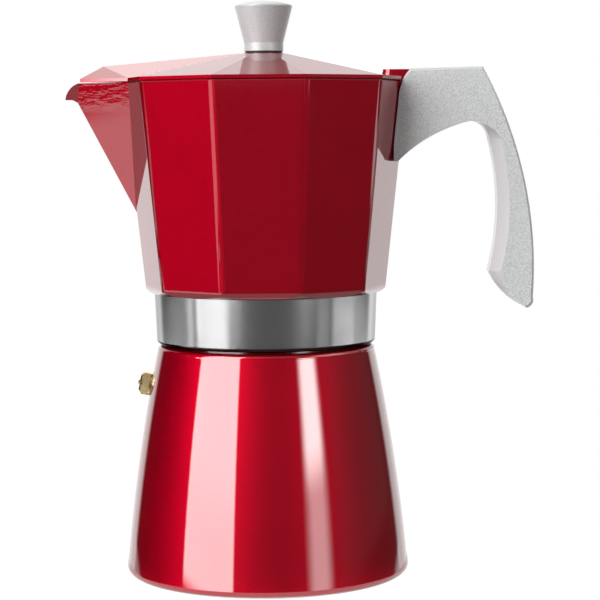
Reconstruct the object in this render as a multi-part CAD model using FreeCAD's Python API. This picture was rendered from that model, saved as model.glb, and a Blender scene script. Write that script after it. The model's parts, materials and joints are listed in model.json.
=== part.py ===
import FreeCAD, Part
import math
import os

from FreeCAD import Vector

# Stove-top moka pot in millimetres. +Z is up, the origin is the centre of the underside,
# the spout points to -X and the handle to +X.

# Boiler: a bowed cone with a flat foot and a bare neck.
foot_radius = 60.0
shoulder_radius = 46.2
boiler_height = 97.0
boiler_bow = 1.35
boiler_wall = 3.0
boiler_floor = 3.5
foot_rounding = 3.0
shoulder_rounding = 2.2
neck_radius = 41.2
neck_wall = 3.6
neck_height = 12.2

# Safety valve: square to the boiler's wall, on the spout's side.
valve_height = 79.7
valve_spot_face = 0.5
valve_hex = 9.2
valve_hex_length = 4.2
valve_bevel = 1.4
valve_washer_radius = 5.0
valve_washer_thickness = 0.9
valve_thread_radius = 4.0
valve_inside_length = 3.0
valve_bore = 2.6
valve_port = 1.3
valve_seat = 1.5
plunger_head_radius = 2.2
plunger_head_length = 1.0
plunger_stem_radius = 0.9
plunger_reach = 0.8
seal_thickness = 0.8
retainer_thickness = 1.0
retainer_depth = 0.6
spring_radius = 1.75
spring_wire = 0.5
spring_turns = 5

# Funnel: a coffee basket with a perforated floor and a stem that dips into the water.
sheet = 1.0
flange_lip = 0.9
basket_depth = 22.0
basket_ledge = 2.4
funnel_fall = 9.0
stem_radius = 4.6
stem_wall = 0.8
sleeve_length = 7.0
stem_foot_gap = 5.0
plate_thickness = 0.8
hole_radius = 0.9
hole_spacing = 5.6
strainer_rings = 5
filter_rings = 5

# Gasket and filter plate under the jug.
gasket_thickness = 4.0
gasket_width = 8.6
filter_overlap = 4.0

# Jug (collector): ten flat sides over a round threaded collar, with a column up the middle.
thread_depth = 1.3
collar_gap = 0.7
collar_wall = 3.7
collar_draft = 0.8
collar_rounding = 1.7
jug_floor = 5.0
jug_height = 88.3
jug_foot_radius = 50.9
jug_rim_radius = 60.5
jug_wall = 2.8
jug_rounding = 4.3
jug_swell = 0.4
jug_edge_radius = 5.0
rim_bevel = 0.7
floor_rise = 8.0
column_spigot = 6.0
column_base_radius = 9.0
column_top_radius = 6.2
column_height = 70.0
column_bore = 4.0
column_outlet = 2.5
column_cap = 3.0
column_dome = 2.0

# Spout: a V-shaped beak on the corner opposite the handle.
spout_depth = 54.1
spout_reach = 83.0
spout_half_width = 14.7
spout_wall = 2.0
lip_drop = 6.95
lip_reach = 83.7
lip_length = 5.8
lip_undercut = 1.5
lip_taper = 0.8
lip_groove_half_width = 1.8
lip_groove_rise = 1.8
lip_top_bow = 1.1
lip_half_width = 2.9

# Lid: a shallow ten-sided pyramid with a hood over the spout.
lid_gap = 0.15
lid_edge = 1.35
lid_overhang = 0.2
lid_wall = 1.8
lid_rise = 10.3
crown_radius = 9.5
hood_reach = 77.3
hood_ridge_reach = 67.5
hood_ridge_drop = 5.1
hood_tip_half_width = 1.6

# Hinge between the lid and the jug.
hinge_overhang = 3.9
hinge_rise = 1.3
knuckle_radius = 3.3
tongue_half_width = 3.6
tongue_length = 11.0
ear_thickness = 3.0
ear_height = 6.2
lid_relief = 7.0
pin_radius = 1.4

# Knob with its insulating washer, threaded insert and screw.
knob_foot_radius = 8.25
knob_foot_height = 3.4
knob_top_radius = 12.1
knob_height = 20.9
knob_dome = 2.5
knob_rounding = 0.9
knob_washer_radius = 7.8
knob_washer_thickness = 0.8
insert_radius = 3.2
insert_length = 11.0
screw_radius = 2.0
screw_head_radius = 3.6
screw_head_height = 2.0
knob_screw_reach = 8.0

# Handle: a moulded grip that wraps a tang cast on the jug.
handle_width = 25.0
handle_flat = 12.0
handle_edge = 1.0
handle_bevel = 5.6
handle_lift = 4.6
handle_top_rise = 0.7
handle_arm_length = 29.9
handle_spine_reach = 20.9
handle_spine_bow = 7.0
handle_drop = 95.1
handle_toe_inset = 2.6
handle_toe_drop = 4.6
handle_toe_bow = 1.2
handle_fork_reach = 3.6
handle_fork_height = 10.6
handle_fork_bow = 2.2
handle_grip_depth = 14.4
handle_grip_height = 38.5
handle_crook_reach = 3.5
handle_crook_drop = 29.1
handle_crook_bow = 1.8
handle_arch_reach = 10.6
handle_arch_drop = 21.5
handle_arch_bow = 2.5
handle_arm_inset = 5.3
handle_arm_drop = 38.3
handle_nose_inset = 5.0
handle_nose_drop = 10.0
handle_nose_bow = 0.8
handle_root = 2.0
handle_pocket_gap = 2.4
handle_body_gap = 0.5
tang_width = 8.0
tang_length = 15.1
tang_height = 12.5
tang_drop = 5.3
handle_screw_inset = 6.5
handle_screw_reach = 9.0
handle_screw_seat = 2.2
screw_washer_radius = 4.0
screw_washer_thickness = 0.8

# Clearances.
running_gap = 0.05
press_gap = 0.02
loose_gap = 0.3
basket_gap = 0.6

# Heights of the stack, from the boiler's shoulder up.
rim_z = boiler_height + neck_height
flange_z = rim_z + sheet
ceiling_z = flange_z + gasket_thickness
collar_low_z = boiler_height + collar_gap
collar_top_z = ceiling_z + jug_floor
jug_rim_z = collar_top_z + jug_height
lid_low_z = jug_rim_z + lid_gap
lid_edge_z = lid_low_z + lid_edge
crown_z = lid_edge_z + lid_rise
knob_low_z = crown_z + knob_washer_thickness
hinge_x = jug_rim_radius + hinge_overhang
hinge_z = jug_rim_z + hinge_rise

# Radii that follow from the fits.
neck_bore = neck_radius - neck_wall
collar_bore = neck_radius + thread_depth
collar_low_radius = collar_bore + collar_wall
collar_top_radius = collar_low_radius + collar_draft
basket_radius = neck_bore - basket_gap
flange_radius = neck_radius - flange_lip
gasket_radius = flange_radius - loose_gap
gasket_inner = gasket_radius - gasket_width
filter_radius = gasket_inner + filter_overlap
lid_radius = jug_rim_radius + lid_overhang

SIDES = 10
CORNER = math.cos(math.pi / SIDES)
UP = Vector(0, 0, 1)


def spot(x, z):
    return Vector(x, 0, z)


def outline(start, *steps):
    """Closed wire in the XZ plane: a step is a line's end, or an arc's middle and end."""
    edges = []
    here = start
    for step in steps:
        if isinstance(step[0], tuple):
            middle, end = step
            edges.append(Part.Arc(spot(*here), spot(*middle), spot(*end)).toShape())
        else:
            end = step
            edges.append(Part.LineSegment(spot(*here), spot(*end)).toShape())
        here = end
    if here != start:
        edges.append(Part.LineSegment(spot(*here), spot(*start)).toShape())
    return Part.Wire(edges)


def turned(start, *steps):
    """Solid of revolution about Z."""
    solid = Part.Face(outline(start, *steps)).revolve(Vector(), UP, 360)
    if solid.Volume < 0:
        solid.reverse()
    return solid


def pressed(half_width, wire):
    """Prism of an XZ outline, from -half_width to half_width along Y."""
    face = Part.Face(wire)
    face.translate(Vector(0, -half_width, 0))
    return face.extrude(Vector(0, 2 * half_width, 0))


def post(radius, low, high, x=0.0):
    return Part.makeCylinder(radius, high - low, spot(x, low))


def tube(outer, inner, low, high, x=0.0):
    return post(outer, low, high, x).cut(post(inner, low, high, x))


def cross_bar(radius, half_length, x, z):
    """Cylinder along Y."""
    return Part.makeCylinder(radius, 2 * half_length, Vector(x, -half_length, z), Vector(0, 1, 0))


def block(x_low, x_high, half_width, z_low, z_high):
    corner = Vector(x_low, -half_width, z_low)
    return Part.makeBox(x_high - x_low, 2 * half_width, z_high - z_low, corner)


def ring_points(radius, z):
    turn = 2 * math.pi / SIDES
    return [Vector(radius * math.cos(turn * k), radius * math.sin(turn * k), z) for k in range(SIDES)]


def ten_sided(*rings):
    """Solid through ten-sided rings, each a corner radius and a height."""
    wires = []
    for radius, z in rings:
        points = ring_points(radius, z)
        wires.append(Part.makePolygon(points + points[:1]))
    return Part.makeLoft(wires, True, True)


def flat_solid(points, faces):
    """Solid with flat faces, each a list of point numbers."""
    shell = []
    for face in faces:
        corners = [points[k] for k in face]
        shell.append(Part.Face(Part.makePolygon(corners + corners[:1])))
    solid = Part.Solid(Part.Shell(shell))
    if solid.Volume < 0:
        solid.reverse()
    return solid


def bow_middle(start, end, bow):
    """Middle of an arc that stands bow to the right of the line from start to end."""
    across = end[0] - start[0]
    along = end[1] - start[1]
    length = math.hypot(across, along)
    return (
        (start[0] + end[0]) / 2 + bow * along / length,
        (start[1] + end[1]) / 2 - bow * across / length,
    )


def cap_middle(edge, crown):
    """Middle of the arc from an edge to a crown on the axis, for a spherical cap."""
    rise = crown[1] - edge[1]
    ball = (edge[0] ** 2 + rise**2) / (2 * rise)
    half_angle = math.asin(edge[0] / ball) / 2
    return (ball * math.sin(half_angle), crown[1] - ball * (1 - math.cos(half_angle)))


def holes(radius, rings, spacing, low, high):
    """Perforations on concentric rings: six more holes on each ring."""
    cutters = [post(radius, low, high)]
    for ring in range(1, rings + 1):
        for k in range(6 * ring):
            angle = math.pi * k / (3 * ring)
            centre = Vector(ring * spacing * math.cos(angle), ring * spacing * math.sin(angle), low)
            cutters.append(Part.makeCylinder(radius, high - low, centre))
    return Part.makeCompound(cutters)


# The boiler's wall is one arc; the valve stands on it, so its circle is worked out here.
WALL_LOW = (foot_radius, foot_rounding)
WALL_HIGH = (shoulder_radius, boiler_height - shoulder_rounding)
WALL_CHORD = math.dist(WALL_LOW, WALL_HIGH)
WALL_ARC = boiler_bow / 2 + WALL_CHORD**2 / (8 * boiler_bow)
WALL_MIDDLE = bow_middle(WALL_LOW, WALL_HIGH, boiler_bow)
WALL_CENTRE = bow_middle(WALL_LOW, WALL_HIGH, boiler_bow - WALL_ARC)


def valve_placement():
    """Valve frame: Z runs outwards along the wall's normal from the spot face."""
    rise = (valve_height - WALL_CENTRE[1]) / WALL_ARC
    run = math.sqrt(1 - rise**2)
    depth = WALL_ARC - valve_spot_face
    outward = Vector(-run, 0, rise)
    base = Vector(-(WALL_CENTRE[0] + depth * run), 0, WALL_CENTRE[1] + depth * rise)
    return FreeCAD.Placement(base, FreeCAD.Rotation(UP, outward))


def on_valve(shape):
    shape.Placement = valve_placement().multiply(shape.Placement)
    return shape


def boiler():
    low_in = (foot_radius - boiler_wall, boiler_floor + foot_rounding)
    high_in = (shoulder_radius - boiler_wall, boiler_height - boiler_wall)
    foot_lean = foot_rounding * (1 - math.sqrt(0.5))
    shoulder_lean = shoulder_rounding * (1 - math.sqrt(0.5))
    solid = turned(
        (0, 0),
        (foot_radius - foot_rounding, 0),
        ((foot_radius - foot_lean, foot_lean), WALL_LOW),
        (WALL_MIDDLE, WALL_HIGH),
        (
            (shoulder_radius - shoulder_lean, boiler_height - shoulder_lean),
            (shoulder_radius - shoulder_rounding, boiler_height),
        ),
        (neck_radius, boiler_height),
        (neck_radius, rim_z),
        (neck_bore, rim_z),
        (neck_bore, boiler_height - boiler_wall + (high_in[0] - neck_bore) / 2),
        high_in,
        (bow_middle(high_in, low_in, -boiler_bow), low_in),
        (low_in[0] - foot_rounding, boiler_floor),
        (0, boiler_floor),
    )
    spot_face = post(valve_washer_radius + loose_gap, 0, 2 * boiler_wall)
    hole = post(valve_thread_radius + press_gap, -3 * boiler_wall, boiler_wall)
    return solid.cut(on_valve(spot_face)).cut(on_valve(hole))


VALVE_TOP = valve_washer_thickness + valve_hex_length
VALVE_LOW = -boiler_wall - valve_inside_length
SEAT = VALVE_LOW + valve_seat
HEAD_LOW = SEAT + seal_thickness
HEAD_TOP = HEAD_LOW + plunger_head_length
RETAINER_TOP = VALVE_TOP - retainer_depth
RETAINER_LOW = RETAINER_TOP - retainer_thickness


def valve_body():
    """Hexagon head with a domed end, a threaded shank and a stepped bore."""
    corner_radius = valve_hex / math.sqrt(3)
    corners = []
    for k in range(7):
        angle = math.radians(30 + 60 * k)
        corners.append(
            Vector(corner_radius * math.cos(angle), corner_radius * math.sin(angle), valve_washer_thickness)
        )
    head = Part.Face(Part.makePolygon(corners)).extrude(Vector(0, 0, valve_hex_length))
    crown = turned(
        (0, valve_washer_thickness),
        (corner_radius, valve_washer_thickness),
        (corner_radius, VALVE_TOP - valve_bevel),
        (corner_radius - valve_bevel, VALVE_TOP),
        (0, VALVE_TOP),
    )
    shank = post(valve_thread_radius, VALVE_LOW, valve_washer_thickness)
    solid = head.common(crown).fuse(shank)
    solid = solid.cut(post(valve_bore, SEAT, VALVE_TOP)).cut(post(valve_port, VALVE_LOW, SEAT))
    return on_valve(solid.removeSplitter())


def valve_washer():
    return on_valve(tube(valve_washer_radius, valve_thread_radius + press_gap, 0, valve_washer_thickness))


def valve_retainer():
    hole = plunger_stem_radius + running_gap
    return on_valve(tube(valve_bore - press_gap, hole, RETAINER_LOW, RETAINER_TOP))


def valve_plunger():
    head = post(plunger_head_radius, HEAD_LOW, HEAD_TOP)
    stem = post(plunger_stem_radius, HEAD_LOW, VALVE_TOP + plunger_reach)
    return on_valve(head.fuse(stem).removeSplitter())


def valve_seal():
    return on_valve(post(plunger_head_radius, SEAT, HEAD_LOW))


def arc_between(start, knee, end):
    """Arc from start to end, tangent to the two equal legs that meet at the knee."""
    half_chord = (end - start).Length / 2
    cosine = half_chord / (knee - start).Length
    foot = (start + end) * 0.5
    return Part.Arc(start, foot + (knee - foot) * (cosine / (1 + cosine)), end).toShape()


def coil_wire(radius, low, rise, turns):
    """Helix about Z as tangent arcs, two to each quarter turn."""
    slope = rise / (2 * math.pi * turns)
    length = math.hypot(radius, slope)

    def place(angle):
        return Vector(radius * math.cos(angle), radius * math.sin(angle), low + slope * angle)

    def heading(angle):
        return Vector(-radius * math.sin(angle), radius * math.cos(angle), slope) / length

    edges = []
    for k in range(4 * turns):
        first = math.pi * k / 2
        second = first + math.pi / 2
        start, end = place(first), place(second)
        out, back = heading(first), heading(second)
        span = end - start
        both = out + back
        spread = 2 * (1 - out.dot(back))
        reach = (math.sqrt(span.dot(both) ** 2 + spread * span.dot(span)) - span.dot(both)) / spread
        knee_out = start + out * reach
        knee_back = end - back * reach
        middle = (knee_out + knee_back) * 0.5
        edges.append(arc_between(start, knee_out, middle))
        edges.append(arc_between(middle, knee_back, end))
    return Part.Wire(edges)


def valve_spring():
    """Coil spring round the plunger's stem, between its head and the retainer."""
    low = HEAD_TOP + spring_wire / 2 + running_gap
    rise = RETAINER_LOW - HEAD_TOP - spring_wire - 2 * running_gap
    path = coil_wire(spring_radius, low, rise, spring_turns)
    print("valve spring, least gap to itself:", round(rise / spring_turns - spring_wire, 3), "mm")
    start = path.Edges[0]
    section = Part.makeCircle(spring_wire / 2, start.valueAt(0), start.tangentAt(start.FirstParameter))
    sweep = Part.BRepOffsetAPI.MakePipeShell(path)
    sweep.add(Part.Wire(section))
    sweep.build()
    sweep.makeSolid()
    return on_valve(sweep.shape())


basket_inner = basket_radius - sheet
ledge_z = rim_z - basket_depth
ledge_inner = basket_inner - basket_ledge
throat_z = ledge_z - funnel_fall
sleeve_inner = stem_radius + press_gap


def funnel_basket():
    """Drawn cup: flange, wall, ledge, cone and the sleeve that grips the stem."""
    sleeve_outer = sleeve_inner + sheet
    return turned(
        (sleeve_inner, throat_z - sleeve_length),
        (sleeve_outer, throat_z - sleeve_length),
        (sleeve_outer, throat_z - sheet),
        (ledge_inner, ledge_z - sheet),
        (basket_radius, ledge_z - sheet),
        (basket_radius, rim_z),
        (flange_radius, rim_z),
        (flange_radius, flange_z),
        (basket_inner, flange_z),
        (basket_inner, ledge_z),
        (ledge_inner, ledge_z),
        (sleeve_inner, throat_z),
    )


def funnel_strainer():
    plate = post(basket_inner - loose_gap, ledge_z, ledge_z + plate_thickness)
    return plate.cut(holes(hole_radius, strainer_rings, hole_spacing, ledge_z, ledge_z + plate_thickness))


def funnel_stem():
    return tube(stem_radius, stem_radius - stem_wall, boiler_floor + stem_foot_gap, throat_z)


def gasket():
    return tube(gasket_radius, gasket_inner, flange_z, ceiling_z)


def filter_plate():
    top = ceiling_z + plate_thickness
    plate = post(filter_radius, ceiling_z, top)
    return plate.cut(holes(hole_radius, filter_rings, hole_spacing, ceiling_z, top))


def jug_radius(z):
    """Corner radius of the jug's ten sides at a height."""
    share = (z - collar_top_z) / jug_height
    return jug_foot_radius + (jug_rim_radius - jug_foot_radius) * share


def jug_outside(margin=0.0, top=jug_rim_z):
    """The ten flat sides, moved out by a margin."""
    grow = margin / CORNER
    return ten_sided((jug_radius(collar_top_z) + grow, collar_top_z), (jug_radius(top) + grow, top))


def jug_cup():
    """Ten-sided wall with a bevelled rim, its underside rounded into the collar."""
    bevel_z = jug_rim_z - rim_bevel
    sides = ten_sided(
        (jug_radius(collar_top_z), collar_top_z),
        (jug_radius(bevel_z), bevel_z),
        (jug_rim_radius - rim_bevel, jug_rim_z),
    )
    upright = [edge for edge in sides.Edges if edge.BoundBox.ZLength > jug_rounding]
    sides = sides.makeFillet(jug_edge_radius, upright)
    swell = jug_radius(collar_top_z + jug_rounding) + jug_swell - collar_top_radius
    lean = math.sqrt(0.5)
    round_end = (collar_top_radius + swell, collar_top_z + jug_rounding)
    form = turned(
        (0, collar_top_z),
        (collar_top_radius, collar_top_z),
        ((collar_top_radius + swell * lean, collar_top_z + jug_rounding * (1 - lean)), round_end),
        (2 * jug_rim_radius, round_end[1]),
        (2 * jug_rim_radius, jug_rim_z),
        (0, jug_rim_z),
    )
    return sides.common(form)


def jug_collar():
    """Round skirt that screws onto the neck; its lower edge is rounded."""
    lean = collar_rounding * (1 - math.sqrt(0.5))
    return turned(
        (0, collar_low_z),
        (collar_low_radius - collar_rounding, collar_low_z),
        (
            (collar_low_radius - lean, collar_low_z + lean),
            (collar_low_radius, collar_low_z + collar_rounding),
        ),
        (collar_top_radius, collar_top_z),
        (0, collar_top_z),
    )


def jug_hollow():
    """Inside of the jug: flat sides, a rounded edge and a floor that rises to the column."""
    shift = jug_wall / CORNER
    top = jug_rim_z + jug_wall
    sides = ten_sided((jug_radius(ceiling_z) - shift, ceiling_z), (jug_radius(top) - shift, top))
    floor_z = ceiling_z + jug_floor
    floor_edge = collar_top_radius - jug_wall
    form = turned(
        (0, floor_z + floor_rise),
        (column_base_radius, floor_z + floor_rise),
        (floor_edge - jug_rounding, floor_z),
        (floor_edge, floor_z),
        (2 * jug_rim_radius, floor_z + 2 * jug_rim_radius - floor_edge),
        (2 * jug_rim_radius, top),
        (0, top),
    )
    return sides.common(form)


column_low_z = collar_top_z + floor_rise
column_top_z = column_low_z + column_height
spigot_low_z = column_low_z - jug_floor


def jug_underside():
    """Everything cut from below: thread bore, gasket seat, plate recess, cone and spigot hole."""
    seat_radius = gasket_radius + loose_gap
    recess = filter_radius + loose_gap
    recess_z = ceiling_z + plate_thickness
    hole = column_spigot + press_gap
    return turned(
        (0, collar_low_z),
        (collar_bore, collar_low_z),
        (collar_bore, flange_z + loose_gap),
        (seat_radius, flange_z + loose_gap),
        (seat_radius, ceiling_z),
        (recess, ceiling_z),
        (recess, recess_z),
        (gasket_inner, recess_z),
        (hole, spigot_low_z),
        (hole, column_top_z),
        (0, column_top_z),
    )


spout_slope = (spout_reach - jug_radius(jug_rim_z - spout_depth)) / spout_depth
spout_spread = spout_half_width / (spout_reach - jug_rim_radius + spout_half_width * math.tan(math.pi / SIDES))
spout_top_z = jug_rim_z - rim_bevel / 2
lip_x = lip_reach - lip_length
lip_z = spout_top_z - lip_drop


def spout_wedge(inset):
    """Two flat sides that meet on a sloping keel, moved inwards by an inset."""
    keel = Vector(spout_slope, 0, 1).normalize()
    side = Vector(-1, spout_spread, 0)
    normal = keel.cross(side).normalize()
    shift = inset / abs(normal.x)
    top = jug_rim_z + jug_wall
    low = jug_rim_z - spout_depth - jug_wall / spout_slope
    keel_top = spout_reach + spout_slope * (top - jug_rim_z) - shift
    keel_low = spout_reach + spout_slope * (low - jug_rim_z) - shift
    back = jug_rim_radius / 2
    half = spout_spread * (keel_top - back)
    points = [
        Vector(-keel_low, 0, low),
        Vector(-keel_top, 0, top),
        Vector(-back, half, top),
        Vector(-back, -half, top),
    ]
    return flat_solid(points, [(0, 1, 2), (0, 3, 1), (1, 3, 2), (0, 2, 3)])


def lip_section(x, half_width, low, high):
    points = [Vector(-x, -half_width, high), Vector(-x, half_width, high), Vector(-x, 0, low)]
    return Part.makePolygon(points + points[:1])


def spout():
    """Beak: the wedge, with a pouring lip drawn out at the tip and a drooping top edge."""
    root_x = lip_x - lip_length
    root_z = jug_rim_z - (spout_reach - root_x) / spout_slope
    tip_half = lip_half_width * lip_taper
    lip = Part.makeLoft(
        [
            lip_section(root_x, lip_half_width, root_z, spout_top_z),
            lip_section(lip_x, lip_half_width, lip_z - lip_undercut, spout_top_z),
            lip_section((lip_x + lip_reach) / 2, lip_half_width, lip_z, spout_top_z),
            lip_section(lip_reach, tip_half, lip_z, spout_top_z),
        ],
        True,
        True,
    )
    back = jug_rim_radius / 2
    floor = jug_rim_z - 2 * spout_depth
    brow = (-lip_x, spout_top_z)
    tip = (-lip_reach, lip_z + lip_taper)
    side = outline(
        (-back, floor),
        (-back, spout_top_z),
        brow,
        (bow_middle(brow, tip, lip_top_bow), tip),
        (-lip_reach, floor),
    )
    return spout_wedge(0).fuse(lip).common(pressed(spout_half_width * 2, side))


def spout_groove():
    """Shallow V along the lip, from the channel's end out through the tip."""
    top = jug_rim_z + jug_wall
    return Part.makeLoft(
        [
            lip_section(lip_x - lip_length, lip_groove_half_width, lip_z, top),
            lip_section(lip_reach + lip_length, lip_groove_half_width, lip_z + lip_groove_rise, top),
        ],
        True,
        True,
    )


tang_top_z = jug_rim_z - tang_drop
tang_low_z = tang_top_z - tang_height
tang_x = jug_rim_radius + tang_length
ear_inner = tongue_half_width + loose_gap
ear_outer = ear_inner + ear_thickness
ear_low_z = tang_top_z - ear_height


def hinge_ears():
    """Two lugs on the jug's corner that hold the hinge pin."""
    foot = block(jug_rim_radius / 2, hinge_x + knuckle_radius, ear_outer, ear_low_z, jug_rim_z - rim_bevel)
    neck = block(hinge_x - knuckle_radius, hinge_x + knuckle_radius, ear_outer, ear_low_z, hinge_z)
    ears = foot.fuse(neck).fuse(cross_bar(knuckle_radius, ear_outer, hinge_x, hinge_z))
    slot = block(0, 2 * hinge_x, ear_inner, tang_top_z, hinge_z + 2 * knuckle_radius)
    return ears.cut(slot)


def collector():
    """One casting: collar, jug, spout, hinge ears and the handle's tang."""
    tang = block(jug_rim_radius / 2, tang_x, tang_width / 2, tang_low_z, tang_top_z)
    shell = jug_cup().fuse([jug_collar(), spout(), hinge_ears(), tang])
    shell = shell.cut(jug_hollow().fuse([spout_wedge(spout_wall), spout_groove()]))
    solid = shell.cut(jug_underside()).cut(cross_bar(pin_radius + press_gap, ear_outer, hinge_x, hinge_z))
    return solid.cut(handle_screw_hole(screw_radius + press_gap)).removeSplitter()


def column():
    """Riser that the coffee climbs: a spigot in the jug's floor, a closed top, two side outlets."""
    bore_top_z = column_top_z - column_cap
    edge = (column_top_radius, column_top_z)
    crown = (0, column_top_z + column_dome)
    solid = turned(
        (column_bore, spigot_low_z),
        (column_spigot, spigot_low_z),
        (column_spigot, column_low_z),
        (column_base_radius, column_low_z),
        edge,
        (cap_middle(edge, crown), crown),
        (0, bore_top_z),
        (column_bore, bore_top_z),
    )
    return solid.cut(cross_bar(column_outlet, 2 * column_base_radius, 0, bore_top_z - column_outlet))


def lid_form(inset, low):
    """Pyramid and hood in one: the outside at inset 0, the hollow at the lid's wall."""
    edge = lid_radius - inset * 2
    edge_z = lid_edge_z - inset
    top_z = crown_z - inset
    pyramid = ten_sided((edge, low), (edge, edge_z), (crown_radius, top_z))
    tip = hood_reach - 2 * inset
    tip_half = hood_tip_half_width - inset / 2
    root = edge - spout_half_width * math.tan(math.pi / SIDES)
    root_half = spout_half_width - inset
    ridge = Vector(-(hood_ridge_reach - inset / 2), 0, crown_z - hood_ridge_drop - inset)
    points = [
        Vector(-crown_radius, 0, top_z),
        ridge,
        Vector(-tip, tip_half, edge_z),
        Vector(-tip, -tip_half, edge_z),
        Vector(-root, root_half, edge_z),
        Vector(-root, -root_half, edge_z),
        Vector(-crown_radius, 0, low),
        Vector(-tip, tip_half, low),
        Vector(-tip, -tip_half, low),
        Vector(-root, root_half, low),
        Vector(-root, -root_half, low),
    ]
    faces = [
        (0, 4, 1),
        (0, 1, 5),
        (1, 4, 2),
        (1, 2, 3),
        (1, 3, 5),
        (4, 9, 7, 2),
        (2, 7, 8, 3),
        (3, 8, 10, 5),
        (0, 6, 9, 4),
        (0, 5, 10, 6),
        (6, 10, 8, 7, 9),
    ]
    return pyramid.fuse(flat_solid(points, faces))


def lid():
    """Cast lid: hollow pyramid, hood, and the tongue that swings on the hinge pin."""
    shell = lid_form(0, lid_low_z).cut(lid_form(lid_wall, lid_low_z - lid_edge))
    relief_x = hinge_x - lid_relief
    relief = block(relief_x, 2 * hinge_x, handle_width / 2 + loose_gap, lid_low_z, crown_z)
    tongue_top = hinge_z + knuckle_radius
    nose_x = hinge_x - tongue_length
    tongue = block(nose_x, hinge_x, tongue_half_width, lid_low_z, tongue_top)
    tongue = tongue.fuse(post(tongue_half_width, lid_low_z, tongue_top, nose_x))
    tongue = tongue.fuse(cross_bar(knuckle_radius, tongue_half_width, hinge_x, hinge_z))
    solid = shell.cut(relief).fuse(tongue)
    solid = solid.cut(cross_bar(pin_radius + running_gap, 2 * tongue_half_width, hinge_x, hinge_z))
    return solid.cut(post(screw_radius + running_gap, lid_low_z, crown_z)).removeSplitter()


def hinge_pin():
    return cross_bar(pin_radius, ear_outer, hinge_x, hinge_z)


def knob():
    """Flared cap with a straight foot and a domed top."""
    shoulder_z = knob_low_z + knob_height - knob_dome
    lean = knob_rounding * math.sqrt(0.5)
    edge_in = (knob_top_radius - knob_rounding, shoulder_z + knob_rounding)
    crown = (0, knob_low_z + knob_height)
    solid = turned(
        (0, knob_low_z),
        (knob_foot_radius, knob_low_z),
        (knob_foot_radius, knob_low_z + knob_foot_height),
        (knob_top_radius, shoulder_z),
        ((knob_top_radius - knob_rounding + lean, shoulder_z + lean), edge_in),
        (cap_middle(edge_in, crown), crown),
    )
    return solid.cut(post(insert_radius + press_gap, knob_low_z, knob_low_z + insert_length))


def knob_insert():
    return tube(insert_radius, screw_radius + press_gap, knob_low_z, knob_low_z + insert_length)


def knob_washer():
    return tube(knob_washer_radius, screw_radius + loose_gap, crown_z, knob_low_z)


def knob_screw():
    head_top = crown_z - lid_wall
    shank = post(screw_radius, head_top, knob_low_z + knob_screw_reach)
    return shank.fuse(post(screw_head_radius, head_top - screw_head_height, head_top)).removeSplitter()


handle_top = jug_rim_z + handle_lift
handle_x = hinge_x - knuckle_radius
handle_corner_x = handle_x + handle_arm_length
handle_spine_x = handle_corner_x + handle_spine_reach
handle_foot_z = handle_top - handle_drop
handle_screw_x = tang_x - handle_screw_inset


def handle_outline(bevel, edge):
    """Side view of the grip; the bevel trims its inner side, the edge the back and the top."""
    top = handle_top - edge
    spine = handle_spine_x - edge
    inner = spine - handle_grip_depth
    front = (handle_x, top)
    corner = (handle_corner_x - edge / 2, top + handle_top_rise)
    heel = (spine, handle_foot_z)
    toe = (spine - handle_toe_inset, handle_foot_z - handle_toe_drop + edge)
    fork = (inner - handle_fork_reach + bevel, handle_foot_z + handle_fork_height)
    grip = (inner + bevel, handle_foot_z + handle_grip_height)
    crook = (inner - handle_crook_reach + bevel, handle_top - handle_crook_drop)
    arch = (inner - handle_arch_reach, handle_top - handle_arch_drop)
    arm = (handle_x - handle_arm_inset, handle_top - handle_arm_drop)
    nose = (handle_x - handle_nose_inset, top - handle_nose_drop)
    root_x = nose[0] - handle_root
    return outline(
        front,
        corner,
        (bow_middle(corner, heel, -handle_spine_bow), heel),
        (bow_middle(heel, toe, -handle_toe_bow), toe),
        (bow_middle(toe, fork, -handle_fork_bow), fork),
        (grip, crook),
        (bow_middle(crook, arch, handle_crook_bow), arch),
        (bow_middle(arch, arm, handle_arch_bow), arm),
        (root_x, arm[1]),
        (root_x, nose[1]),
        nose,
        (bow_middle(nose, front, -handle_nose_bow), front),
    )


def handle_screw_hole(radius):
    return post(radius, handle_foot_z, tang_low_z + handle_screw_reach, handle_screw_x)


def handle():
    """Moulded grip, bevelled along its inner side, hollowed for the tang and the hinge."""
    half = handle_width / 2
    layers = [
        (-half, handle_bevel, handle_edge),
        (-half + handle_edge, handle_bevel, 0.0),
        (-handle_flat / 2, 0.0, 0.0),
        (handle_flat / 2, 0.0, 0.0),
        (half - handle_edge, handle_bevel, 0.0),
        (half, handle_bevel, handle_edge),
    ]
    wires = []
    for y, bevel, edge in layers:
        wire = handle_outline(bevel, edge)
        wire.translate(Vector(0, y, 0))
        wires.append(wire)
    solid = Part.makeLoft(wires, True, True)
    solid = solid.cut(jug_outside(handle_body_gap, 2 * jug_rim_z))
    tang_half = tang_width / 2 + loose_gap
    solid = solid.cut(block(0, tang_x + loose_gap, tang_half, tang_low_z, tang_top_z + loose_gap))
    pocket_x = hinge_x + knuckle_radius + handle_pocket_gap
    pocket = block(0, pocket_x, ear_outer + loose_gap, ear_low_z - loose_gap, 2 * handle_top)
    seat_z = tang_low_z - handle_screw_seat
    seat = post(screw_washer_radius + loose_gap, handle_foot_z, seat_z, handle_screw_x)
    solid = solid.cut(pocket.fuse(seat))
    return solid.cut(handle_screw_hole(screw_radius + loose_gap)).removeSplitter()


def handle_washer():
    top = tang_low_z - handle_screw_seat
    hole = screw_radius + loose_gap
    return tube(screw_washer_radius, hole, top - screw_washer_thickness, top, handle_screw_x)


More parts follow.
